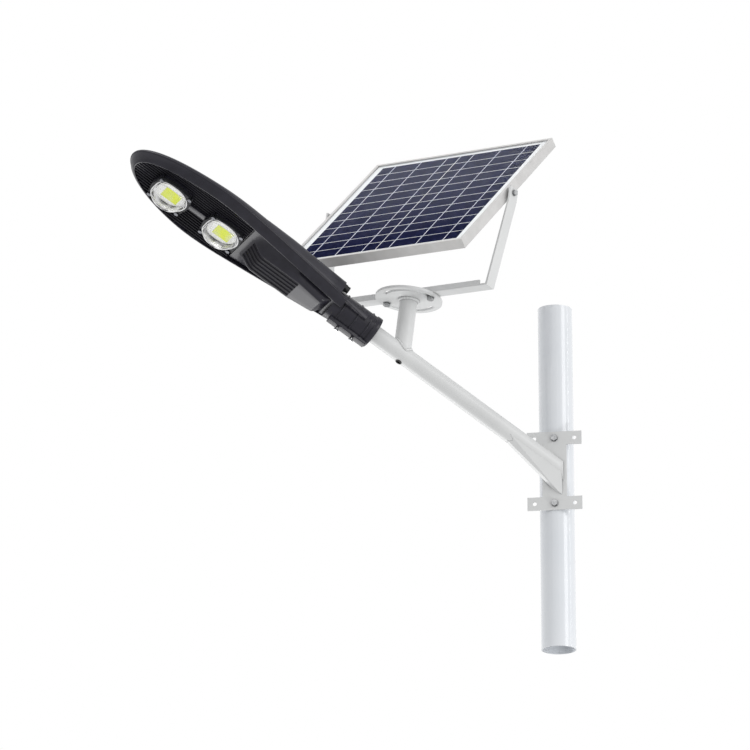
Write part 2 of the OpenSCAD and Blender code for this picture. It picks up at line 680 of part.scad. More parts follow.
// Driver tray under the bay, and what it carries
tray_t = head_wall;
tray_floor = [bay[0] + 6, bay[1] - 5];
tray_crest = 29;
tray_half = [bay_half[0] + 3, min(tray_crest, bay_half[1])];
tray_rib_pitch = 10;
tray_rib_from = 0.307 * head_len;
tray_rib = [2.4, 2.2];
module tray_form(inset) {
    low = -tray_h + inset;
    ends = [tray_floor[0] + inset, tray_floor[1] - inset];
    hull() {
        translate([0, 0, -floor_t - 3]) linear_extrude(3 - seat + (inset > 0 ? 1 : 0))
            bay_outline(tray_lap.x - 2.5 * inset, tray_lap.y - 3.7 * inset);
        translate([0, 0, low]) linear_extrude(0.5) polygon([[ends[0], -tray_half[0] + inset],
            [ends[1], -tray_half[1] + inset], [ends[1], tray_half[1] - inset], [ends[0], tray_half[0] - inset]]);
    }
}
module driver_tray() {
    color([0.15, 0.15, 0.16]) in_head() {
        difference() {
            tray_form(0);
            tray_form(tray_t);
            at_tray_screws() translate([0, 0, -floor_t - 3]) cylinder(d = tray_screw_d + 2 * run, h = body_h);
        }
        for (k = [-2 : 2]) translate([tray_rib_from, k * tray_rib_pitch - tray_rib.x / 2, 0.2 - tray_h - tray_rib.y])
            cube([tray_floor[1] - tray_rib_from - 3, tray_rib.x, tray_rib.y]);
    }
}
module tray_screws() {
    color("silver") in_head() at_tray_screws() {
        cylinder(d = 1.9 * tray_screw_d, h = 2);
        translate([0, 0, -floor_t - 2.5]) cylinder(d = tray_screw_d, h = floor_t + 2.6);
    }
}
pack_cell_d = 26;
tray_run = tray_floor[1] - tray_floor[0];
pack_cell_len = 0.42 * tray_run;
tray_top = -tray_h + tray_t + 0.5 + seat;
module battery_pack() {
    color("royalblue") in_head()
        translate([tray_floor[1] - pack_cell_len - 0.2 * tray_run, 0, tray_top + pack_cell_d / 2])
        along_x() for (side = [-1, 1]) translate([0, side * (pack_cell_d / 2 + seat), 0])
            cylinder(d = pack_cell_d, h = pack_cell_len);
}
module charge_controller() {
    board = [0.28 * tray_run, 28, 14];
    color("seagreen") in_head() translate([tray_floor[0] + 10, -board.y / 2, tray_top]) cube(board);
}

// Lens modules
gasket_t = 2;
frame_t = 4;
chip_w = 30;
board_w = 36;
board_t = 1.5;
chip_t = 1;
lens_lip = 2.5;
lens_lip_t = 1.5;
// A lens's plan: a circle with a flat towards the tip, grown by grow
module lens_plan(grow) {
    r = lens_d / 2 + grow;
    intersection() {
        circle(r = r);
        translate([-r, -r]) square([r + lens_flat + grow, 2 * r]);
    }
}
module screw_holes(depth) {
    step = lens_screw_pitch / 2;
    for (x = [-1, 1], y = [-1, 1]) translate([x * step, y * step, -1])
        cylinder(d = lens_screw_d + 2 * run, h = depth + 1);
}
module lens_gasket(at) {
    color("dimgray") in_head() translate([at, 0, -body_h - gasket_t]) difference() {
        linear_extrude(gasket_t) ped_outline(-1);
        translate([0, 0, -1]) linear_extrude(gasket_t + 2) lens_plan(-1);
        screw_holes(gasket_t + 1);
    }
}
module lens_frame(at) {
    color("gray") in_head() translate([at, 0, -body_h - gasket_t - frame_t]) difference() {
        linear_extrude(frame_t) ped_outline();
        translate([0, 0, -1]) linear_extrude(frame_t + 2) lens_plan(seat);
        translate([0, 0, frame_t - lens_lip_t - seat]) linear_extrude(frame_t) lens_plan(lens_lip + seat);
        screw_holes(frame_t + 1);
    }
}
// A clear dome with a lip that the frame holds down, hollow over the chip
module lens(at) {
    dome_r = (lens_d * lens_d / 4 + dome_h * dome_h) / (2 * dome_h);
    wall = 5;
    color("aliceblue") in_head() translate([at, 0, -body_h - gasket_t]) mirror([0, 0, 1]) difference() {
        union() {
            linear_extrude(lens_lip_t) lens_plan(lens_lip);
            linear_extrude(frame_t) lens_plan(0);
            intersection() {
                translate([0, 0, frame_t + dome_h - dome_r]) sphere(r = dome_r);
                translate([0, 0, frame_t - 1]) linear_extrude(dome_h + 2) lens_plan(0);
            }
        }
        translate([0, 0, -1]) intersection() {
            translate([0, 0, dome_h + frame_t - wall - dome_r]) sphere(r = dome_r);
            linear_extrude(dome_h + frame_t) lens_plan(-wall);
        }
    }
}
module led_board(at) {
    color("white") in_head() translate([at - board_w / 2 - 2, -board_w / 2, -body_h - board_t])
        cube([board_w, board_w, board_t]);
}
module led_chip(at) {
    color("gold") in_head() translate([at - chip_w / 2 - 2, -chip_w / 2, -body_h - board_t - chip_t])
        cube([chip_w, chip_w, chip_t]);
}
module lens_screws() {
    color("silver") at_lens_screws() translate([0, 0, -body_h - gasket_t - frame_t]) {
        translate([0, 0, -2.4]) cylinder(d = 1.8 * lens_screw_d, h = 2.4);
        translate([0, 0, -1]) cylinder(d = lens_screw_d, h = gasket_t + frame_t + 7);
    }
}
module inner_lens() { lens(lenses[0]); }
module tip_lens() { lens(lenses[1]); }
module inner_lens_frame() { lens_frame(lenses[0]); }
module tip_lens_frame() { lens_frame(lenses[1]); }
module inner_lens_gasket() { lens_gasket(lenses[0]); }
module tip_lens_gasket() { lens_gasket(lenses[1]); }
module inner_led_board() { led_board(lenses[0]); }
module tip_led_board() { led_board(lenses[1]); }
module inner_led_chip() { led_chip(lenses[0]); }
module tip_led_chip() { led_chip(lenses[1]); }

pole();
rivet_nuts();
mounting_plate();
plate_washers();
plate_bolts();
arm_tube();
arm_end_plate();
arm_gusset();
arm_grommet();
panel_post();
swivel_plate();
panel_yoke();
swivel_washers();
swivel_bolts();
swivel_nuts();
lower_rail();
upper_rail();
left_rail();
right_rail();
panel_glass();
solar_cells();
backsheet();
junction_box();
junction_lid();
junction_gland();
pivot_washers();
pivot_bolts();
pivot_nuts();
head_body();
collar_bolts();
top_cover();
cover_screws();
cable_gland();
driver_tray();
tray_screws();
battery_pack();
charge_controller();
inner_lens();
tip_lens();
inner_lens_frame();
tip_lens_frame();
inner_lens_gasket();
tip_lens_gasket();
inner_led_board();
tip_led_board();
inner_led_chip();
tip_led_chip();
lens_screws();
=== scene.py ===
"""Solar street lamp on its pole: the looks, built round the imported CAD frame.

Pieces are drawn in millimetres in the frame of the part they belong to, and are placed in metres.
The studio is in metres.
"""

import json
import math

import bmesh
import bpy
from mathutils import Matrix, Vector


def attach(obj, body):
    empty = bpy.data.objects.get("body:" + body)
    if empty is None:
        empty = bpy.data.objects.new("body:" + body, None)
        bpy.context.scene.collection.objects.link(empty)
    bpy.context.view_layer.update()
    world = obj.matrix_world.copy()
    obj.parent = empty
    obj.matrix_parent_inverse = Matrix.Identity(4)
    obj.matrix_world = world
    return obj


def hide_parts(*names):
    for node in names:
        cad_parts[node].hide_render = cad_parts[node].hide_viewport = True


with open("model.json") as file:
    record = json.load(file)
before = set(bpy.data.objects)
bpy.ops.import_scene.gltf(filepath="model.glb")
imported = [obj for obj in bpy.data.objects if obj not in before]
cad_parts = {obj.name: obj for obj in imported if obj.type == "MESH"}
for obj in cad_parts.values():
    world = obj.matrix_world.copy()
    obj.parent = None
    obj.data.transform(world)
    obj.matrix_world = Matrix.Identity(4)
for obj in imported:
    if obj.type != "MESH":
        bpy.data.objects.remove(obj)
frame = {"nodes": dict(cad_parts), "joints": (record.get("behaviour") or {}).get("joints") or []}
nodes = frame["nodes"]
joints = {j["name"]: j for j in frame["joints"]}
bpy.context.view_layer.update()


# Pole: a powder-coated steel tube, with two blind rivet nuts in its wall for the plate's bolts.
# The coat is glossy and a little blue, with the faint orange peel of a baked powder.
def linear(code):
    """An sRGB hex colour as the linear RGBA that a colour socket takes."""
    parts = [int(code[i:i + 2], 16) / 255 for i in (0, 2, 4)]
    return [p / 12.92 if p <= 0.04045 else ((p + 0.055) / 1.055) ** 2.4 for p in parts] + [1]


def add(tree, kind, sockets, **settings):
    """Adds one node with its settings, and sets or links its inputs."""
    node = tree.nodes.new(kind)
    for name, value in settings.items():
        setattr(node, name, value)
    for key, value in sockets.items():
        if isinstance(value, bpy.types.NodeSocket):
            tree.links.new(value, node.inputs[key])
        else:
            node.inputs[key].default_value = value
    return node


def blank(name):
    """A new material and its empty node tree."""
    mat = bpy.data.materials.new(name)
    mat.use_nodes = True
    mat.node_tree.nodes.clear()
    return mat, mat.node_tree


MM = 0.001
SHADE_STOPS = (0.3, 0.7)
CORNER_REACH = 5


def solid(name, dark, light, grain, rough, bump, depth, soft=0.5, painted_corner_shade=0, **more):
    """An opaque finish: two shades in patches of the size grain, uneven gloss, and relief of the size bump.

    Edges are softened over soft, and painted shade darkens a tight corner by the share painted_corner_shade.
    Sizes are in mm.
    """
    mat, tree = blank(name)
    place = add(tree, "ShaderNodeTexCoord", {}).outputs["Object"]
    patches = add(tree, "ShaderNodeTexNoise", {"Vector": place, "Scale": 1 / (grain * MM), "Detail": 3})
    drift = patches.outputs["Fac"]
    shade = add(tree, "ShaderNodeValToRGB", {"Fac": drift})
    for stop, at, code in zip(shade.color_ramp.elements, SHADE_STOPS, (dark, light)):
        stop.position = at
        stop.color = linear(code)
    # Painted shade: an occlusion node darkens the colour in tight corners.
    corner = add(tree, "ShaderNodeAmbientOcclusion", {"Distance": CORNER_REACH * MM}, samples=8)
    corner_shading = add(tree, "ShaderNodeMapRange", {
        "Value": corner.outputs["AO"], "From Min": 0.3, "From Max": 0.9, "To Min": 1 - painted_corner_shade, "To Max": 1})
    tone = add(tree, "ShaderNodeVectorMath", {
        0: shade.outputs["Color"], "Scale": corner_shading.outputs["Result"]}, operation="SCALE")
    gloss = add(tree, "ShaderNodeMapRange", {"Value": drift, "To Min": rough[0], "To Max": rough[1]})
    skin = add(tree, "ShaderNodeTexNoise", {"Vector": place, "Scale": 1 / (bump * MM), "Detail": 2})
    edges = add(tree, "ShaderNodeBevel", {"Radius": soft * MM}, samples=6)
    relief = add(tree, "ShaderNodeBump", {
        "Height": skin.outputs["Fac"], "Distance": depth * MM, "Normal": edges.outputs["Normal"]})
    look = add(tree, "ShaderNodeBsdfPrincipled", {
        "Base Color": tone.outputs["Vector"], "Roughness": gloss.outputs["Result"],
        "Normal": relief.outputs["Normal"], **more})
    add(tree, "ShaderNodeOutputMaterial", {"Surface": look.outputs["BSDF"]})
    return mat


def dress(mat, slot, *names):
    """Gives CAD nodes a material. Its slot, the record's slot that it stands for, is not used."""
    for name in names:
        nodes[name].data.materials.clear()
        nodes[name].data.materials.append(mat)


# Gloss white powder coat: reads as clean, cool white with one narrow streak of light down the tube.
pole_paint = solid(
    "Gloss_white_powder_coat", "E0E4E9", "E6E9ED", grain=120, rough=(0.2, 0.26), bump=1.6, depth=0.004,
    **{"Coat Weight": 0.6, "Coat Roughness": 0.06})
dress(pole_paint, "pole_paint", "pole")

# Fasteners: stainless hex bolts, washers, nuts and rivet nuts, bought in and left bare.
# They hold the plate to the pole, the yoke to its plate, the panel in the yoke and the head on the arm.
# Turned stainless steel: bright metal with painted shade where a head meets its washer, so that it stands out
# from paint.
stainless = solid(
    "Turned_stainless_steel", "A2A3A5", "CBCCCD", grain=4, rough=(0.14, 0.24), bump=0.6, depth=0.02,
    painted_corner_shade=0.8, Metallic=1)
dress(stainless, "fastener_steel", "rivet_nuts", "plate_washers", "plate_bolts", "swivel_washers",
      "swivel_bolts", "swivel_nuts", "pivot_washers", "pivot_bolts", "pivot_nuts", "collar_bolts")

# Bracket: plate, arm tube with its end plate and gusset, post and slotted disc, welded and painted as one.
# The yoke is bent strip in the same paint. A rubber grommet lines the cable hole under the arm.
# Satin light grey paint: a shade warmer and duller than the pole, so that the two read as separate.
# Its tight corners and joints are painted darker, as painted shade.
bracket_paint = solid(
    "Satin_light_grey_paint", "D9DADA", "DFE0E0", grain=50, rough=(0.32, 0.42), bump=1.2, depth=0.01,
    painted_corner_shade=0.45)
dress(bracket_paint, "bracket_paint", "mounting_plate", "arm_tube", "arm_end_plate", "arm_gusset",
      "panel_post", "swivel_plate", "panel_yoke")
# Black rubber: matt, with slightly greyer patches.
rubber = solid("Black_rubber", "141415", "1C1C1D", grain=10, rough=(0.55, 0.7), bump=0.8, depth=0.01)
dress(rubber, "black_rubber", "arm_grommet", "inner_lens_gasket", "tip_lens_gasket")


# Welds: a full steel bead under the swivel plate, and one along the saddle where the post meets the arm,
# painted with the bracket. Their frame has z up the post from the yoke's foot, and x in the arm's plane.
POST_R, ARM_R, UNDER_PLATE, ARM_DROP = 14.5, 15, -4.2, -99.15
PLATE_BEAD, PLATE_BEAD_OUT, PLATE_BEAD_DROP = 3, 0.6, 0.8
SADDLE_BEAD, SADDLE_OUT = 2.2, 0.3
WELD_STEPS, RIPPLE_STEPS, BEAD_SIDES = 120, 6, 10


def axes(origin, x, y):
    """A place for millimetre drawings: origin in metres, with unit axes x, y and their normal."""
    grid = Matrix((x, y, x.cross(y))).transposed() * MM
    return Matrix.Translation(origin) @ grid.to_4x4()


def outward(mesh):
    """The same mesh with doubled points merged and its faces turned outward."""
    form = bmesh.new()
    form.from_mesh(mesh)
    bmesh.ops.remove_doubles(form, verts=form.verts, dist=0.001)
    bmesh.ops.recalc_face_normals(form, faces=form.faces)
    form.to_mesh(mesh)
    form.free()
    return mesh


def piece(name, mesh, place, mat, body, slot, *stands_for, sharp=38):
    """Turns a millimetre mesh into a finished piece: placed, normals outward, riding on its body."""
    outward(mesh)
    mesh.transform(place)
    mesh.shade_smooth()
    mesh.set_sharp_from_angle(angle=math.radians(sharp))
    mesh.materials.clear()
    mesh.materials.append(mat)
    mesh.name = name
    obj = bpy.data.objects.new(name, mesh)
    bpy.context.scene.collection.objects.link(obj)
    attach(obj, body)
    if stands_for:
        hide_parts(*stands_for)
    return obj


def drawn(points, faces):
    """A mesh from points and faces, in millimetres."""
    mesh = bpy.data.meshes.new("drawn")
    mesh.from_pydata(points, [], faces)
    return mesh


def turns(steps):
    """Equal angles once round a circle."""
    return [2 * math.pi * i / steps for i in range(steps)]


def bead(path, thick, ripple=0.1):
    """A round bead along a closed path about the z axis, swelling and thinning by ripple as a weld does."""
    count, points, faces = len(path), [], []
    for i, spot in enumerate(path):
        ahead = (path[(i + 1) % count] - path[i - 1]).normalized()
        aside = ahead.cross(Vector((0, 0, 1))).normalized()
        upward = aside.cross(ahead)
        swell = thick * (1 + ripple * math.sin(2 * math.pi * i / RIPPLE_STEPS))
        ways = [aside * math.cos(a) + upward * math.sin(a) for a in turns(BEAD_SIDES)]
        points += [spot + way * swell for way in ways]
        here, there = i * BEAD_SIDES, (i + 1) % count * BEAD_SIDES
        for k in range(BEAD_SIDES):
            next_k = (k + 1) % BEAD_SIDES
            faces.append((here + k, here + next_k, there + next_k, there + k))
    return drawn(points, faces)


def saddle_point(a):
    """Where a line down the post at the angle a meets the arm's skin."""
    x, y = (POST_R + SADDLE_OUT) * math.cos(a), (POST_R + SADDLE_OUT) * math.sin(a)
    across = 1 - lean * lean
    run = x * math.sqrt(across)
    gap = x * x + y * y - run * run - (ARM_R + SADDLE_OUT) ** 2
    rise = (run * lean + math.sqrt(max(0, (run * lean) ** 2 - across * gap))) / across
    return Vector((x, y, ARM_DROP + rise))


post_axis = -Vector(joints["panel_swivel"]["axis"]).normalized()
arm = Vector(joints["head_roll"]["axis"]).normalized()
lean = arm.dot(post_axis)
arm_side = (arm - post_axis * lean).normalized()
POST = axes(Vector(joints["panel_swivel"]["pos_m"]), arm_side, post_axis.cross(arm_side))
ring_r = POST_R + PLATE_BEAD_OUT
under = [Vector((ring_r * math.cos(a), ring_r * math.sin(a), UNDER_PLATE - PLATE_BEAD_DROP))
         for a in turns(WELD_STEPS)]
saddle = [saddle_point(a) for a in turns(WELD_STEPS)]
piece("plate_weld", bead(under, PLATE_BEAD), POST, bracket_paint, "mast", "bracket_paint")
piece("saddle_weld", bead(saddle, SADDLE_BEAD), POST, bracket_paint, "mast", "bracket_paint")

# Panel: four anodised rails with mitred corners round a laminate of glass, cells and white backsheet.
# A black junction box with its lid and gland is glued behind it. Its frame comes from its joints: u across,
# the slope upwards, and the normal out of the glass.
PANEL_TILT, PIVOT_DROP, LAMINATE = math.radians(51), 2.9, 346.4
CELL_LOW, CELL_TOP, FILM_LOW, FILM_TOP = 3.2, 3.5, 2.7, 3.46
u = Vector(joints["panel_tilt"]["axis"]).normalized()
slope = post_axis.cross(u) * math.cos(PANEL_TILT) + post_axis * math.sin(PANEL_TILT)
PANEL = axes(Vector(joints["panel_tilt"]["pos_m"]) + u.cross(slope) * PIVOT_DROP * MM, u, slope)
# Anodised aluminium: satin silver with a faint, even grain.
anodised = solid(
    "Anodised_aluminium", "C9C8C7", "D4D3D2", grain=20, rough=(0.42, 0.5), bump=0.8, depth=0.006,
    Metallic=0.3)
dress(anodised, "frame_aluminium", "lower_rail", "upper_rail", "left_rail", "right_rail")
# Black moulded plastic: dark, with a fine spark-eroded grain.
plastic = solid(
    "Black_moulded_plastic", "17181A", "202124", grain=20, rough=(0.4, 0.5), bump=0.7, depth=0.01)
dress(plastic, "black_plastic", "junction_box", "junction_lid", "junction_gland", "cable_gland")


def block(low, high):
    """A box between two corners."""
    x, y, z = zip(low, high)
    points = [(a, b, c) for c in z for b in y for a in x]
    return drawn(points, [(0, 2, 3, 1), (4, 5, 7, 6), (0, 1, 5, 4), (2, 6, 7, 3), (0, 4, 6, 2), (1, 3, 7, 5)])


# White backsheet: bright polymer film, seen between the cells as the pale grid.
backsheet = solid("White_backsheet", "F6F6F9", "FAFAFB", grain=30, rough=(0.45, 0.55), bump=1, depth=0.006)
film = block((-LAMINATE / 2, -LAMINATE / 2, FILM_LOW), (LAMINATE / 2, LAMINATE / 2, FILM_TOP))
piece("backsheet_film", film, PANEL, backsheet, "panel", "backsheet_white", "backsheet")

# Cells: two columns of twelve multicrystalline strips, each a sixth of a wafer, bonded under the glass.
# Three tinned copper ribbons run down each column and are soldered to every cell.
CELL_W, CELL_H, ROW_PITCH, COL_PITCH, ROWS = 156.9, 26.1, 27.2, 158.2, 12
RIBBON_W, RIBBON_T = 1.25, 0.08
# A wave texture of scale 1 repeats every WAVE_LENGTH.
CRYSTAL, FINGER_PITCH, WAVE_LENGTH = 10.526, 3.927, math.pi / 10


def repeat(part, spots, reach, finish):
    """One part put on many spots with Geometry Nodes, each stretched by its own reach along x, y and z."""
    tree = bpy.data.node_groups.new("Repeat_on_spots", "GeometryNodeTree")
    inputs = {}
    for label, kind in (("Spots", "Geometry"), ("Part", "Object"), ("Finish", "Material")):
        socket = tree.interface.new_socket(label, in_out="INPUT", socket_type="NodeSocket" + kind)
        inputs[label] = socket.identifier
    tree.interface.new_socket("Result", in_out="OUTPUT", socket_type="NodeSocketGeometry")
    given = add(tree, "NodeGroupInput", {})
    shape = add(tree, "GeometryNodeObjectInfo", {"Object": given.outputs["Part"]})
    size = add(tree, "GeometryNodeInputNamedAttribute", {"Name": "reach"}, data_type="FLOAT_VECTOR")
    put = add(tree, "GeometryNodeInstanceOnPoints", {
        "Points": given.outputs["Spots"], "Instance": shape.outputs["Geometry"],
        "Scale": size.outputs["Attribute"]})
    real = add(tree, "GeometryNodeRealizeInstances", {"Geometry": put.outputs["Instances"]})
    done = add(tree, "GeometryNodeSetMaterial", {
        "Geometry": real.outputs["Geometry"], "Material": given.outputs["Finish"]})
    add(tree, "NodeGroupOutput", {"Result": done.outputs["Geometry"]})
    model = bpy.data.objects.new("part", part)
    base = drawn(spots, [])
    attribute = base.attributes.new("reach", "FLOAT_VECTOR", "POINT")
    attribute.data.foreach_set("vector", [v for r in reach for v in r])
    holder = bpy.data.objects.new("spots", base)
    for obj in (model, holder):
        bpy.context.scene.collection.objects.link(obj)
    grow = holder.modifiers.new("Repeat", "NODES")
    grow.node_group = tree
    grow[inputs["Part"]] = model
    grow[inputs["Finish"]] = finish
    bpy.context.view_layer.update()
    seen = holder.evaluated_get(bpy.context.evaluated_depsgraph_get())
    mesh = bpy.data.meshes.new_from_object(seen)
    holder.modifiers.clear()
    for obj in (model, holder):
        bpy.data.objects.remove(obj)
    return mesh


def flat_map(mesh):
    """A UV map that is the drawing's own x and y in metres."""
    layer = mesh.uv_layers.new(name="plan")
    for loop in mesh.loops:
        spot = mesh.vertices[loop.vertex_index].co
        layer.data[loop.index].uv = (spot.x * MM, spot.y * MM)
    return mesh


# Multicrystalline silicon: patchwork of dark blue crystals crossed by hair-thin silver fingers.
# The upper rows gleam more than the lower ones through a painted reflection, so that the panel pales
# towards its top edge. The fingers are drawn twice as far apart as real ones, so that they show.
silicon, tree = blank("Multicrystalline_silicon")
plan = add(tree, "ShaderNodeUVMap", {}, uv_map="plan").outputs["UV"]
crystal = add(tree, "ShaderNodeTexVoronoi", {"Vector": plan, "Scale": 1 / (CRYSTAL * MM), "Randomness": 1})
patch = add(tree, "ShaderNodeValToRGB", {"Fac": crystal.outputs["Color"]})
for stop, at, code in zip(patch.color_ramp.elements, (0.1, 0.9), ("0E1230", "161A3A")):
    stop.position = at
    stop.color = linear(code)
finger = add(tree, "ShaderNodeTexWave", {
    "Vector": plan, "Scale": WAVE_LENGTH / (FINGER_PITCH * MM), "Distortion": 0}, bands_direction="Y")
line = add(tree, "ShaderNodeMapRange", {
    "Value": finger.outputs["Fac"], "From Min": 0.93, "From Max": 0.98, "To Max": 0.05})
# Mix has its colour inputs at 6 and 7, and its colour output at 2.
tint = add(tree, "ShaderNodeMix", {
    "Factor": line.outputs["Result"], 6: patch.outputs["Color"], 7: linear("9C9DB4")}, data_type="RGBA")
sheen = add(tree, "ShaderNodeMapRange", {"Value": crystal.outputs["Distance"], "To Min": 0.3, "To Max": 0.42})
spot = add(tree, "ShaderNodeSeparateXYZ", {"Vector": plan})
# Painted reflection: the specular level rises up the panel's slope.
painted_reflection = add(tree, "ShaderNodeMapRange", {
    "Value": spot.outputs["Y"], "From Min": -0.13, "From Max": 0.17, "To Min": 0.02, "To Max": 0.34})
look = add(tree, "ShaderNodeBsdfPrincipled", {
    "Base Color": tint.outputs[2], "Roughness": sheen.outputs["Result"],
    "Specular IOR Level": painted_reflection.outputs["Result"]})
add(tree, "ShaderNodeOutputMaterial", {"Surface": look.outputs["BSDF"]})
cell = block((-CELL_W / 2, -CELL_H / 2, CELL_LOW), (CELL_W / 2, CELL_H / 2, CELL_TOP))
cell_spots = [(c * COL_PITCH, (r - (ROWS - 1) / 2) * ROW_PITCH, 0) for r in range(ROWS) for c in (-0.5, 0.5)]
cells = flat_map(repeat(cell, cell_spots, [(1, 1, 1)] * len(cell_spots), silicon))
piece("solar_cell_field", cells, PANEL, silicon, "panel", "cell_silicon", "solar_cells")

# Tinned copper: pale satin ribbons along the columns.
tinned = solid(
    "Tinned_copper", "D6D7E6", "E0E1EC", grain=10, rough=(0.4, 0.5), bump=1, depth=0.004, soft=0.02,
    Metallic=0.2)
ribbon = block((-RIBBON_W / 2, -0.5, 0), (RIBBON_W / 2, 0.5, RIBBON_T))
ribbon_spots = [(c * COL_PITCH + s * CELL_W / 3, 0, CELL_TOP) for c in (-0.5, 0.5) for s in (-1, 0, 1)]
ribbon_reach = [(1, ROW_PITCH * (ROWS - 1) + CELL_H, 1)] * len(ribbon_spots)
ribbons = repeat(ribbon, ribbon_spots, ribbon_reach, tinned)
piece("busbars", ribbons, PANEL, tinned, "panel", "cell_silicon")

# Panel glass: one tempered sheet, coated against glare and bonded to the cells below it.
# Tempered glass: faintly green in patches. The view bends only at its upper face, as cells touch the lower.
# Lamps and soft light go straight through, so that the cells below stay evenly lit.
GLASS_PATCH = 25
panel_glass, tree = blank("Coated_tempered_glass")
place = add(tree, "ShaderNodeTexCoord", {})
drift = add(tree, "ShaderNodeTexNoise", {"Vector": place.outputs["Object"], "Scale": 1 / (GLASS_PATCH * MM)})
clear = add(tree, "ShaderNodeMix", {
    "Factor": drift.outputs["Fac"], 6: linear("FEFEFF"), 7: linear("F7FBFA")}, data_type="RGBA")
bent = add(tree, "ShaderNodeBsdfRefraction", {"Color": clear.outputs[2], "IOR": 1.45, "Roughness": 0})
straight = add(tree, "ShaderNodeBsdfTransparent", {})
ray = add(tree, "ShaderNodeLightPath", {})
face = add(tree, "ShaderNodeNewGeometry", {})
lit = add(tree, "ShaderNodeMath", {
    0: ray.outputs["Is Shadow Ray"], 1: ray.outputs["Is Diffuse Ray"]}, operation="MAXIMUM")
unbent = add(tree, "ShaderNodeMath", {
    0: lit.outputs["Value"], 1: face.outputs["Backfacing"]}, operation="MAXIMUM")
through = add(tree, "ShaderNodeMixShader", {
    "Fac": unbent.outputs["Value"], 1: bent.outputs["BSDF"], 2: straight.outputs["BSDF"]})
add(tree, "ShaderNodeOutputMaterial", {"Surface": through.outputs["Shader"]})
dress(panel_glass, "panel_glass", "panel_glass")

# Lamp head: a black die-cast body with a bevelled rim round a recessed floor, held on the arm by its collar.
# Its frame starts at the collar's end, with x along the arm to the tip and z up through the cover.
HEAD_ROLL = math.radians(6)
HEAD_LEN, WIDEST, HALF_W, NECK_HALF, NECK_AT, SPREAD = 488, 316, 82, 28, 20, 1.1
TIP_LEN, TIP_RISE, RISE_FROM = HEAD_LEN - WIDEST, 7, 0.7
SHAVE, SHAVE_REACH = 1.5, 40
BODY_REAR, BAY_REAR = 72, 86
RECESS_Z, RECESS_FROM = -6, BAY_REAR + 8
level_side = (Vector((0, 0, 1)) - arm * arm.z).normalized()
level_side.rotate(Matrix.Rotation(HEAD_ROLL, 3, arm))
HEAD = axes(Vector(joints["head_roll"]["pos_m"]), arm, level_side.cross(arm))
# Rim section as (inset, height): top lip, a shadow step, the bevel, and the wall of the recess.
RIM = ((9, -0.1), (0.7, -0.1), (0.15, -0.4), (0, -1), (0, -1.9), (0.3, -2.5), (1.5, -2.9), (1.9, -3.5),
       (5.2, -9.2), (12.2, -13.6), (13, -14), (14.2, -14), (14.9, -13.6), (15, -12.8))
# Coated die-cast aluminium: near-black powder coat with a fine grain and a soft sheen on its edges.
# Its tight corners are painted darker, as painted shade.
casting = solid(
    "Coated_die_cast_aluminium", "1E1D26", "282731", grain=20, rough=(0.36, 0.46), bump=0.8, depth=0.012,
    soft=0.8, painted_corner_shade=0.5, **{"Specular IOR Level": 0.3, "Coat Weight": 0.2, "Coat Roughness": 0.14})


def half_at(x):
    """Half of the head's width at x: it spreads from the neck to the widest point."""
    left = max(0, 1 - (x - NECK_AT) / (WIDEST - NECK_AT))
    return NECK_HALF + (HALF_W - NECK_HALF) * (1 - left ** SPREAD)


def lift_at(x):
    """Rise of the tip above the parting line."""
    return TIP_RISE * (max(0, x / HEAD_LEN - RISE_FROM) / (1 - RISE_FROM)) ** 2


def shave(x):
    """How much the corner at the widest point is rounded off."""
    return SHAVE * max(0, 1 - abs(x - WIDEST) / SHAVE_REACH) ** 2


def plan_side(inset, rear, steps=52, round_steps=48):
    """One side of the head's plan drawn in by inset, from x = rear to the tip."""
    along = [rear + (WIDEST - rear) * i / steps for i in range(steps)]
    side = [(x, half_at(x) - inset) for x in along]
    quarter = [math.pi / 2 * i / round_steps for i in range(round_steps)]
    side += [(WIDEST + (TIP_LEN - inset) * math.sin(a), (HALF_W - inset) * math.cos(a)) for a in quarter]
    return [(x, y - shave(x)) for x, y in side] + [(HEAD_LEN - inset, 0)]


def shell(rings):
    """A closed skin over mirrored rings, each given as one side of points from the rear to the tip."""
    n, last = len(rings[0]), len(rings) - 1
    points = [(x, s * y, z) for ring in rings for s in (1, -1) for x, y, z in ring]
    faces = []
    for k in range(last):
        for s in (0, 1):
            a, b = (2 * k + s) * n, (2 * k + 2 + s) * n
            faces += [(a + i, a + i + 1, b + i + 1, b + i) for i in range(n - 1)]
        faces.append((2 * k * n, 2 * (k + 1) * n, (2 * k + 3) * n, (2 * k + 1) * n))
    for near in (0, 2 * last * n):
        faces += [(near + i, near + i + 1, near + n + i + 1, near + n + i) for i in range(n - 1)]
    return drawn(points, faces)


def rim_ring(inset, z):
    """One ring of the rim, lifted towards the tip."""
    return [(x, y, z + lift_at(x)) for x, y in plan_side(inset, BODY_REAR)]


rings = [rim_ring(inset, z) for inset, z in RIM]
rings.append([(x, y, RECESS_Z if x > RECESS_FROM else z) for x, y, z in rings[-1]])
piece("head_rim", shell(rings), HEAD, casting, "head", "head_casting", "head_body")

# Collar: the casting's round socket for the arm, with four raised bands that stiffen it.
# A pad below takes the two set bolts, and a rib along each side runs into the rim.
COLLAR_R, BAND_R, BORE_R, BORE_EASE = 25.6, 27.2, 15.1, 0.6
BANDS = ((0, 10), (16.1, 19.1), (39, 42), (65.8, 68.8))
BAND_STEP, BAND_ROUND, BAND_DIP = 0.5, 0.9, 0.3
PAD_FROM, PAD_TO, PAD_HALF, PAD_LOW, PAD_TOP, PAD_EASE = 3, BODY_REAR + 4, 7, -31, -20, 1.2
SIDE_RIB_FROM, SIDE_RIB_TO, SIDE_RIB_ROOT, SIDE_RIB_SWEEP = 27.3, 114, 18, 1.15
SIDE_RIB_OUT = (30, half_at(SIDE_RIB_TO) - 1)
SIDE_RIB_LOW, SIDE_RIB_HIGH, SIDE_RIB_STEPS = (-6.4, -2.8), (3, -0.2), 24
RIB_EDGE, RIB_NOSE = 1.2, 0.3


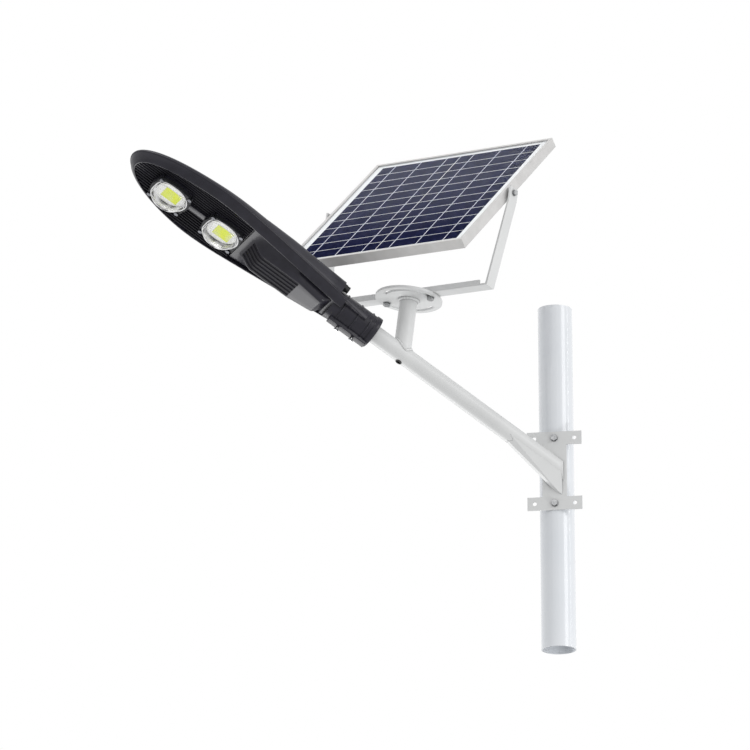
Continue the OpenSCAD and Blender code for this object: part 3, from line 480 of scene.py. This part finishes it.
def turned(profile, sides=64):
    """A solid turned about the x axis through (x, radius) points, closed from the last to the first."""
    points = [(x, r * math.cos(a), r * math.sin(a)) for a in turns(sides) for x, r in profile]
    faces, n = [], len(profile)
    for i in range(sides):
        here, there = i * n, (i + 1) % sides * n
        faces += [(here + k, here + (k + 1) % n, there + (k + 1) % n, there + k) for k in range(n)]
    return drawn(points, faces)


def eased(mesh, width, steps=2):
    """The same mesh with its edges rounded over width."""
    form = bmesh.new()
    form.from_mesh(mesh)
    bmesh.ops.bevel(form, geom=form.edges[:], offset=width, segments=steps, profile=0.5, affect="EDGES")
    form.to_mesh(mesh)
    form.free()
    return mesh


def loft(sections):
    """A closed skin through sections of equally many points, capped at both ends."""
    n = len(sections[0])
    points = [p for section in sections for p in section]
    faces = [tuple(range(n)), tuple(range(len(points) - n, len(points)))]
    for first in range(0, len(points) - n, n):
        faces += [(first + k, first + (k + 1) % n, first + n + (k + 1) % n, first + n + k) for k in range(n)]
    return drawn(points, faces)


def between(ends, share):
    """The value that lies at this share of the way between two ends."""
    return ends[0] + (ends[1] - ends[0]) * share


def side_rib_section(side, share):
    """Section of a collar rib at this share of its length, with two eased edges outward."""
    x = between((SIDE_RIB_FROM, SIDE_RIB_TO), share)
    out = between(SIDE_RIB_OUT, share ** SIDE_RIB_SWEEP)
    low, high = between(SIDE_RIB_LOW, share), between(SIDE_RIB_HIGH, share)
    section = [(SIDE_RIB_ROOT, low), (out - RIB_EDGE, low), (out - RIB_NOSE, low + RIB_NOSE),
               (out, low + RIB_EDGE), (out, high - RIB_EDGE), (out - RIB_NOSE, high - RIB_NOSE),
               (out - RIB_EDGE, high), (SIDE_RIB_ROOT, high)]
    return [(x, side * y, z) for y, z in section]


profile = [(BORE_EASE, BORE_R), (0, BORE_R + BORE_EASE)]
for first, last in BANDS:
    profile += [(first, COLLAR_R), (first + BAND_STEP, BAND_R - BAND_DIP), (first + BAND_ROUND, BAND_R),
                (last - BAND_ROUND, BAND_R), (last - BAND_STEP, BAND_R - BAND_DIP), (last, COLLAR_R)]
profile += [(BAY_REAR, COLLAR_R), (BAY_REAR, BORE_R)]
piece("collar", turned(profile), HEAD, casting, "head", "head_casting")
pad = eased(block((PAD_FROM, -PAD_HALF, PAD_LOW), (PAD_TO, PAD_HALF, PAD_TOP)), PAD_EASE, steps=3)
piece("set_bolt_pad", pad, HEAD, casting, "head", "head_casting")
for name, side in (("near_rib", 1), ("far_rib", -1)):
    rib = loft([side_rib_section(side, i / SIDE_RIB_STEPS) for i in range(SIDE_RIB_STEPS + 1)])
    piece("collar_" + name, rib, HEAD, casting, "head", "head_casting")

# Fins: thin cast blades along the floor with rounded tops, each as long as the recess is there.
# They stand on both sides of the lenses and carry their heat away.
FIN_PITCH, FIN_T, FIN_H, FIN_FROM, FIN_COUNT = 6.5, 2.6, 7, 262.5, 21
FIN_ROOT, FIN_ROUND, ARC_STEPS, FIN_LEAST, RECESS_INSET = 0.2, 1.1, 8, 0.4, 15
# Dull die-cast aluminium: the same coat, unpolished and painted a shade darker as painted shade, so that
# fins and ribs stay darker than the rim.
dull_shaded_casting = solid(
    "Dull_shaded_die_cast_aluminium", "17161C", "1F1E26", grain=20, rough=(0.55, 0.65), bump=0.8, depth=0.02,
    **{"Specular IOR Level": 0.2})


def fin_ends(y):
    """Where the recess begins and ends along a line at this distance from the middle."""
    spread = max(0, 1 - (y + RECESS_INSET - NECK_HALF) / (HALF_W - NECK_HALF))
    first = NECK_AT + (WIDEST - NECK_AT) * (1 - spread ** (1 / SPREAD))
    last = WIDEST + (TIP_LEN - RECESS_INSET) * math.sqrt(1 - (y / (HALF_W - RECESS_INSET)) ** 2)
    return max(FIN_FROM, first), last


half_turn = [math.pi * i / ARC_STEPS for i in range(ARC_STEPS + 1)]
fin_top = [(-FIN_T / 2 * math.cos(a), FIN_ROUND - FIN_H - FIN_ROUND * math.sin(a)) for a in half_turn]
fin_section = [(-FIN_T / 2, FIN_ROOT)] + fin_top + [(FIN_T / 2, FIN_ROOT)]
fin_lines = [(k - FIN_COUNT // 2) * FIN_PITCH for k in range(FIN_COUNT)]
fin_runs = [fin_ends(abs(y) + FIN_T / 2) for y in fin_lines]
fin = loft([[(x, y, z) for y, z in fin_section] for x in (0, 1)])
fin_spots = [(first, y, RECESS_Z) for y, (first, last) in zip(fin_lines, fin_runs)]
fins = repeat(fin, fin_spots, [(last - first, 1, 1) for first, last in fin_runs], dull_shaded_casting)
for vertex in fins.vertices:
    if vertex.co.z < RECESS_Z:
        vertex.co.z = min(RECESS_Z - FIN_LEAST, vertex.co.z + lift_at(vertex.co.x))
piece("fins", fins, HEAD, dull_shaded_casting, "head", "head_casting")

# Pedestals: bosses of the casting with four lugs each, which carry the lenses and take their screws.
# A bar along the middle of the recess joins the two.
LENSES = (297, 400)
SEAT_R, SEAT_HALF, LUG_R, SEAT_LOW, SEAT_TOP, BAR_EASE = 35.5, 32.5, 14, -14, -5.5, 0.6


def seat_outline(sides=128):
    """Outline of a lens seat: a circle with four rounded lugs."""
    outline = []
    away = math.sqrt(2) * (SEAT_HALF - LUG_R)
    for a in turns(sides):
        off = (a % (math.pi / 2)) - math.pi / 4
        flat = SEAT_HALF / max(abs(math.cos(a)), abs(math.sin(a)))
        lug = away * math.cos(off) + math.sqrt(max(0, LUG_R ** 2 - (away * math.sin(off)) ** 2))
        on_flat = min(abs(math.cos(a)), abs(math.sin(a))) * flat <= SEAT_HALF - LUG_R
        reach = max(SEAT_R, flat if on_flat else lug)
        outline.append((reach * math.cos(a), reach * math.sin(a)))
    return outline


def slab(outline, at, low, high):
    """A plate of this outline, moved along by at, between two heights."""
    return loft([[(at + x, y, z) for x, y in outline] for z in (low, high)])


for name, at in zip(("inner", "tip"), LENSES):
    seat = slab(seat_outline(), at, SEAT_LOW, SEAT_TOP)
    piece(name + "_pedestal", seat, HEAD, casting, "head", "head_casting")
bar = eased(block((LENSES[0], -FIN_PITCH, SEAT_LOW), (LENSES[1], FIN_PITCH, SEAT_TOP)), BAR_EASE)
piece("pedestal_bar", bar, HEAD, casting, "head", "head_casting")

# Driver tray: a cast cover screwed on under the electronics, with an S-curved front down from the inner lens.
# Five stiffening ribs follow the curve in a shallow pocket.
TRAY_FROM, TRAY_TO, TRAY_STEPS, TRAY_EDGE, CREST = 87.5, 260, 70, -9.5, -25
TRAY_DROP, TRAY_S = (86, 106), (221, 255)
BASE_HALF, BASE_FLARE, CREST_HALF, CREST_FLARE, CREST_MOST, FLARE_FROM = 25.1, 0.1843, 16, 0.19, 27, 91
TRAY_RIB_FROM, TRAY_RIB_TO, TRAY_RIB_STEPS, TRAY_RIB_PITCH = 150, 247, 30, 10
TRAY_RIB_W, TRAY_RIB_H, TRAY_RIB_SINK = 4, 1.9, 0.6
POCKET = ((-25, -0.35), (25, -0.35), (25, 0.8), (-25, 0.8))


def ease(x, low, high):
    """A smooth step from 0 at low to 1 at high."""
    share = min(1, max(0, (x - low) / (high - low)))
    return share * share * (3 - 2 * share)


def crest_at(x):
    """Height of the tray's crest: down from the collar, level, then up in an S to the inner lens."""
    return TRAY_EDGE + (CREST - TRAY_EDGE) * ease(x, *TRAY_DROP) * (1 - ease(x, *TRAY_S))


def tray_section(x):
    """Section of the tray at x: an upright edge, a sloping side and a flat crest, mirrored."""
    base = BASE_HALF + (x - FLARE_FROM) * BASE_FLARE
    crest = min(CREST_HALF + (x - FLARE_FROM) * CREST_FLARE, CREST_MOST)
    deep = crest_at(x)
    drop = deep - TRAY_EDGE
    side = [(base, -6.2), (base, -8.4), (base - 0.8, -9.2), (base - 3.5, -9.4 + 0.06 * drop),
            (crest + 4.5, TRAY_EDGE + 0.72 * drop), (crest + 1.6, TRAY_EDGE + 0.95 * drop), (crest - 1, deep),
            (crest * 0.5, deep)]
    return [(x, y, z) for y, z in side] + [(x, -y, z) for y, z in side[::-1]]


def stations(first, last, steps):
    """Equal steps from first to last."""
    return [between((first, last), i / steps) for i in range(steps + 1)]


tray = loft([tray_section(x) for x in stations(TRAY_FROM, TRAY_TO, TRAY_STEPS)])
piece("driver_tray_shell", tray, HEAD, casting, "head", "head_casting", "driver_tray", sharp=50)
rib_line = [(x, crest_at(x)) for x in stations(TRAY_RIB_FROM, TRAY_RIB_TO, TRAY_RIB_STEPS)]
# The pocket and the ribs take the darker dull casting, as painted shade over the rib region.
pocket = loft([[(x, y, z + up) for y, up in POCKET] for x, z in rib_line])
piece("rib_pocket", pocket, HEAD, dull_shaded_casting, "head", "head_casting")
rib_arc = [(-TRAY_RIB_W / 2 * math.cos(a), TRAY_RIB_SINK - (TRAY_RIB_H + TRAY_RIB_SINK) * math.sin(a))
           for a in half_turn]
tray_rib = loft([[(x, y, z + up) for y, up in rib_arc] for x, z in rib_line])
tray_rib_spots = [(0, k * TRAY_RIB_PITCH, 0) for k in (-2, -1, 0, 1, 2)]
tray_ribs = repeat(tray_rib, tray_rib_spots, [(1, 1, 1)] * len(tray_rib_spots), dull_shaded_casting)
piece("tray_ribs", tray_ribs, HEAD, dull_shaded_casting, "head", "head_casting")

# Head screws: small steel screws, blackened against rust.
# They hold the top cover, the driver tray and the lens frames to the casting.
# Blackened steel: dark heads that show only as small gleams.
blackened = solid(
    "Blackened_steel", "45464A", "5E5F63", grain=3, rough=(0.3, 0.42), bump=0.6, depth=0.02, Metallic=1)
dress(blackened, "fastener_steel", "cover_screws", "tray_screws", "lens_screws")

# Top cover: a domed casting over the bay, held by four screws in wells, with a cable gland at its rear.
# Its section is given as (inset, share of the crown's height), and its crown as (share of the head's length,
# share of the full height), falling towards the tip.
COVER_REAR, COVER_H, COVER_GAP = 86.2, 26, 0.1
COVER = ((0.5, 0), (0.6, 0.1), (0.9, 0.2), (1.5, 0.32), (2.4, 0.46), (3.6, 0.6), (5.2, 0.72), (8, 0.835),
         (12, 0.925), (18, 1.01), (26, 1.08))
CROWN = ((0.17, 1), (0.4, 0.86), (0.54, 0.6), (0.71, 0.38), (1, 0.22))
FULLNESS, FULL_FROM, FULL_OVER = 0.6, 0.2, 0.34
WELL_R, WELL_FLOOR, WELL_TOP, WELL_INSET, WELL_AT, WELL_SIDES = 4.2, 8, 40, 7, (146, 254), 32


def crown_at(x):
    """Height of the cover's crown at x."""
    share = x / HEAD_LEN
    for (x0, h0), (x1, h1) in zip(CROWN, CROWN[1:]):
        if share <= x1:
            return COVER_H * between((h0, h1), (share - x0) / (x1 - x0))
    return COVER_H * h1


def cover_ring(inset, share):
    """One ring of the cover, fuller towards the collar and lifted towards the tip."""
    ring = []
    for x, y in plan_side(inset, COVER_REAR):
        fuller = inset * FULLNESS * max(0, 1 - (x / HEAD_LEN - FULL_FROM) / FULL_OVER)
        ring.append((x, y + fuller, COVER_GAP + crown_at(x) * share + lift_at(x)))
    return ring


def cut(mesh, tool):
    """The mesh with the tool's volume taken away."""
    body, cutter = [bpy.data.objects.new("cut", outward(part)) for part in (mesh, tool)]
    for obj in (body, cutter):
        bpy.context.scene.collection.objects.link(obj)
    taken = body.modifiers.new("Cut", "BOOLEAN")
    taken.object = cutter
    taken.operation = "DIFFERENCE"
    bpy.context.view_layer.update()
    seen = body.evaluated_get(bpy.context.evaluated_depsgraph_get())
    result = bpy.data.meshes.new_from_object(seen)
    for obj in (body, cutter):
        bpy.data.objects.remove(obj)
    return result


cover = shell([cover_ring(inset, share) for inset, share in COVER])
well_plan = [(WELL_R * math.cos(a), WELL_R * math.sin(a)) for a in turns(WELL_SIDES)]
well_spots = [(x, side * (half_at(x) - WELL_INSET), 0) for x in WELL_AT for side in (-1, 1)]
well = slab(well_plan, 0, WELL_FLOOR, WELL_TOP)
wells = repeat(well, well_spots, [(1, 1, 1)] * len(well_spots), casting)
piece("top_cover_dome", cut(cover, wells), HEAD, casting, "head", "head_casting", "top_cover")

# Lenses: clear moulded domes over a pale base, round towards the collar and squarer towards the tip.
# Each sits in a dark frame that four screws press on a gasket. Fine pale rims round its foot are painted
# highlights: they show as bright lines there.
LENS_R, LENS_FRONT, SQUARE, LENS_SIDES = 31, 30, 3.2, 96
DOME, DOME_STEPS, LENS_TOP, LENS_LOW, HOLLOW = 22, 19, -17.2, -20, 0.86
BASE_SHARE, BASE_LOW, BASE_TOP, GLINT_STREAK = 0.84, -16.2, -15.6, 14.286
HIGHLIGHT_RIMS, RIM_DROP = (("_rim", 1, 0.9), ("_step", 0.93, 0.45)), 0.3


def lens_outline(share):
    """Plan of a lens: half a circle towards the collar, and a squarer half towards the tip."""
    outline = []
    for a in turns(LENS_SIDES):
        c, s = math.cos(a), math.sin(a)
        reach = LENS_R
        if c > 0:
            reach = (abs(c / LENS_FRONT) ** SQUARE + abs(s / LENS_R) ** SQUARE) ** (-1 / SQUARE)
        outline.append((reach * c * share, reach * s * share))
    return outline


def drop_at(share):
    """How far the dome hangs below its rim at this share of its plan."""
    ball = (LENS_R ** 2 + DOME ** 2) / (2 * DOME)
    return math.sqrt(ball ** 2 - (LENS_R * share) ** 2) - (ball - DOME)


def dome(at, size):
    """Points and faces of a dome over the lens's plan, drawn to this size and open towards the chip."""
    points = [(at + x, y, LENS_TOP) for x, y in lens_outline(size)]
    for i in range(DOME_STEPS):
        share = math.cos(math.pi / 2 * i / DOME_STEPS)
        points += [(at + x, y, LENS_LOW - drop_at(share) * size) for x, y in lens_outline(share * size)]
    n, last, faces = LENS_SIDES, DOME_STEPS * LENS_SIDES, []
    for first in range(0, last, n):
        faces += [(first + i, first + (i + 1) % n, first + n + (i + 1) % n, first + n + i) for i in range(n)]
    faces += [(last + i, last + (i + 1) % n, last + n) for i in range(n)]
    return points + [(at, 0, LENS_LOW - DOME * size)], faces


def lens_shell(at):
    """Outer and inner dome of one lens, joined by the rim that sits in the frame."""
    points, faces = dome(at, 1)
    inner, inner_faces = dome(at, HOLLOW)
    count, n = len(points), LENS_SIDES
    faces += [tuple(count + i for i in f[::-1]) for f in inner_faces]
    faces += [(i, count + i, count + (i + 1) % n, (i + 1) % n) for i in range(n)]
    return drawn(points + inner, faces)


# Moulded lens glass: clear in the middle and milky towards its edges, in streaks; the milky white is partly
# haze and partly painted reflection of the glass's bright rim and glints.
lens_glass, tree = blank("Moulded_lens_glass")
place = add(tree, "ShaderNodeTexCoord", {})
glint_streak = add(tree, "ShaderNodeTexNoise", {
    "Vector": place.outputs["Object"], "Scale": 1 / (GLINT_STREAK * MM), "Detail": 1})
edge = add(tree, "ShaderNodeLayerWeight", {"Blend": 0.3})
haze_and_rim_glint = add(tree, "ShaderNodeMapRange", {"Value": edge.outputs["Facing"], "To Min": 0.12, "To Max": 0.95})
glint_strength = add(tree, "ShaderNodeMapRange", {
    "Value": glint_streak.outputs["Fac"], "From Min": 0.38, "From Max": 0.66, "To Min": 0.3, "To Max": 2.1})
# Painted reflection: the white is strongest at the edges and in streaks, where the glass shows glints.
haze_and_painted_glint = add(tree, "ShaderNodeMath", {
    0: haze_and_rim_glint.outputs["Result"], 1: glint_strength.outputs["Result"]}, operation="MULTIPLY")
face = add(tree, "ShaderNodeNewGeometry", {})
shown = add(tree, "ShaderNodeMath", {
    0: haze_and_painted_glint.outputs["Value"], 1: face.outputs["Backfacing"]}, operation="SUBTRACT", use_clamp=True)
skin = add(tree, "ShaderNodeBsdfPrincipled", {"Base Color": linear("F5F5F5"), "Roughness": 0.08})
through = add(tree, "ShaderNodeBsdfTransparent", {"Color": linear("FEFEFE")})
both = add(tree, "ShaderNodeMixShader", {
    "Fac": shown.outputs["Value"], 1: through.outputs["BSDF"], 2: skin.outputs["BSDF"]})
add(tree, "ShaderNodeOutputMaterial", {"Surface": both.outputs["Shader"]})
# Frosted polycarbonate: a pale base round the chip that fills the lens with soft light.
frosted = solid("Frosted_polycarbonate", "E9E9EA", "F4F4F5", grain=8, rough=(0.25, 0.4), bump=2, depth=0.06)
for name, at in zip(("inner_lens", "tip_lens"), LENSES):
    lens = piece(name + "_dome", lens_shell(at), HEAD, lens_glass, "head", "lens_glass", name)
    lens.visible_shadow = False
    base = slab(lens_outline(BASE_SHARE), at, BASE_LOW, BASE_TOP)
    piece(name + "_base", base, HEAD, frosted, "head", "lens_glass")
    # Painted highlights: pale beads round the dome's foot that show as bright lines.
    for label, share, thick in HIGHLIGHT_RIMS:
        height = LENS_LOW - RIM_DROP - drop_at(share)
        path = [Vector((at + x, y, height)) for x, y in lens_outline(share)]
        piece(name + label, bead(path, thick, 0), HEAD, frosted, "head", "lens_glass")

# Light sources: behind each lens a white circuit board lies on the pedestal, with one large chip on it.
# A dark moulded frame, held by four screws, clamps the lens round its foot.
# Dark grey moulded plastic: a shade lighter and duller than the casting.
lens_frame = solid(
    "Dark_grey_moulded_plastic", "1E1F23", "27282C", grain=10, rough=(0.5, 0.6), bump=0.8, depth=0.01,
    **{"Specular IOR Level": 0.2})
dress(lens_frame, "lens_frame_grey", "inner_lens_frame", "tip_lens_frame")
# White solder mask: bright and clean.
board_white = solid(
    "White_solder_mask", "DADCDC", "E4E6E6", grain=10, rough=(0.4, 0.5), bump=0.8, depth=0.01)
dress(board_white, "board_white", "inner_led_board", "tip_led_board")
# Yellow phosphor gel: strong yellow-green, slightly uneven.
phosphor = solid("Yellow_phosphor_gel", "DFEE00", "ECF514", grain=6, rough=(0.5, 0.6), bump=0.8, depth=0.01)
dress(phosphor, "chip_phosphor", "inner_led_chip", "tip_led_chip")

# Inside the tray: a battery pack of two wrapped cells and the charge controller in its case.
# Both are hidden while the tray is on.
# Blue shrink film: plain blue with a soft gloss.
cell_wrap = solid("Blue_shrink_film", "274A8C", "30569C", grain=10, rough=(0.3, 0.4), bump=1, depth=0.01)
dress(cell_wrap, "cell_wrap", "battery_pack")
# Grey moulded plastic: plain and satin.
grey_case = solid(
    "Grey_moulded_plastic", "55585C", "606468", grain=10, rough=(0.4, 0.5), bump=1, depth=0.01)
dress(grey_case, "controller_case", "charge_controller")

# Studio: a pale floor well below, soft white surroundings, and a camera that looks up at the lamp.
# A key and a fill from the right shape the tubes, and a narrow strip draws the streak on the pole. A wide box
# above lights the cover, and a kicker from behind and below lifts the underside of the head.
FLOOR_Z, FLOOR_HALF, MOTTLE = -2.6, 20, 0.3333
SOFT_LIGHT, BACKDROP = 0.67, 1
AZIMUTH, ELEVATION, DISTANCE, FOCAL_LENGTH = math.radians(-22), math.radians(-18), 8, 235.9
MIDDLE, SHIFT_RIGHT, SHIFT_UP = Vector((-0.3, 0, 0.45)), -0.02, -0.0169
# Pale floor: matt and almost even, so that it only catches the shadow.
floor_mat, tree = blank("Pale_floor")
place = add(tree, "ShaderNodeTexCoord", {})
mottle = add(tree, "ShaderNodeTexNoise", {"Vector": place.outputs["Object"], "Scale": 1 / MOTTLE})
tone = add(tree, "ShaderNodeMapRange", {"Value": mottle.outputs["Fac"], "To Min": 0.82, "To Max": 0.84})
matt = add(tree, "ShaderNodeBsdfDiffuse", {"Color": tone.outputs["Result"]})
add(tree, "ShaderNodeOutputMaterial", {"Surface": matt.outputs["BSDF"]})
floor_corners = [(x * FLOOR_HALF, y * FLOOR_HALF, FLOOR_Z) for x, y in ((-1, -1), (1, -1), (1, 1), (-1, 1))]
floor_mesh = drawn(floor_corners, [(0, 1, 2, 3)])
floor_mesh.materials.append(floor_mat)
floor = bpy.data.objects.new("floor", floor_mesh)
bpy.context.scene.collection.objects.link(floor)

world = bpy.data.worlds.new("Studio")
bpy.context.scene.world = world
world.use_nodes = True
tree = world.node_tree
tree.nodes.clear()
ray = add(tree, "ShaderNodeLightPath", {})
mirrored = add(tree, "ShaderNodeMath", {
    0: ray.outputs["Is Camera Ray"], 1: ray.outputs["Is Glossy Ray"]}, operation="MAXIMUM")
seen = add(tree, "ShaderNodeMath", {
    0: mirrored.outputs["Value"], 1: ray.outputs["Is Transmission Ray"]}, operation="MAXIMUM")
strength = add(tree, "ShaderNodeMapRange", {
    "Value": seen.outputs["Value"], "To Min": SOFT_LIGHT, "To Max": BACKDROP})
surround = add(tree, "ShaderNodeBackground", {"Color": (1, 1, 1, 1), "Strength": strength.outputs["Result"]})
add(tree, "ShaderNodeOutputWorld", {"Surface": surround.outputs["Background"]})

level = math.cos(ELEVATION)
back = Vector((math.sin(AZIMUTH) * level, -math.cos(AZIMUTH) * level, math.sin(ELEVATION)))
right = Vector((math.cos(AZIMUTH), math.sin(AZIMUTH), 0))
up = back.cross(right)
aim = MIDDLE + right * SHIFT_RIGHT + up * SHIFT_UP


def lamp(name, way, far, wide, watts, tall=None):
    """A soft box, square unless tall is given, that looks at the object from the direction way."""
    data = bpy.data.lights.new(name, "AREA")
    data.shape = "RECTANGLE"
    data.size = wide
    data.size_y = tall or wide
    data.energy = watts
    obj = bpy.data.objects.new(name, data)
    bpy.context.scene.collection.objects.link(obj)
    obj.location = aim + way.normalized() * far
    obj.rotation_euler = way.to_track_quat("Z", "Y").to_euler()


lamp("key", right + back * 0.5 + up * 0.5, far=3, wide=1.2, watts=13)
lamp("fill", right * 0.8 + back * 0.6 - up * 0.5, far=2.6, wide=0.5, watts=13)
lamp("strip", right, far=2.5, wide=0.1, watts=3.5, tall=2.4)
lamp("sky", Vector((-0.5, -0.2, 0.85)), far=3, wide=1.5, watts=26)
lamp("kicker", Vector((-0.19, 0.77, -0.61)), far=2.4, wide=1.6, watts=26)

camera_data = bpy.data.cameras.new("photo_view")
camera_data.lens = FOCAL_LENGTH
camera_data.sensor_width = 36
camera_data.clip_end = 100
camera = bpy.data.objects.new("photo_view", camera_data)
bpy.context.scene.collection.objects.link(camera)
camera.matrix_world = Matrix((right, up, back)).transposed().to_4x4()
camera.location = aim + back * DISTANCE
bpy.context.scene.camera = camera
bpy.context.scene.view_settings.view_transform = "Standard"
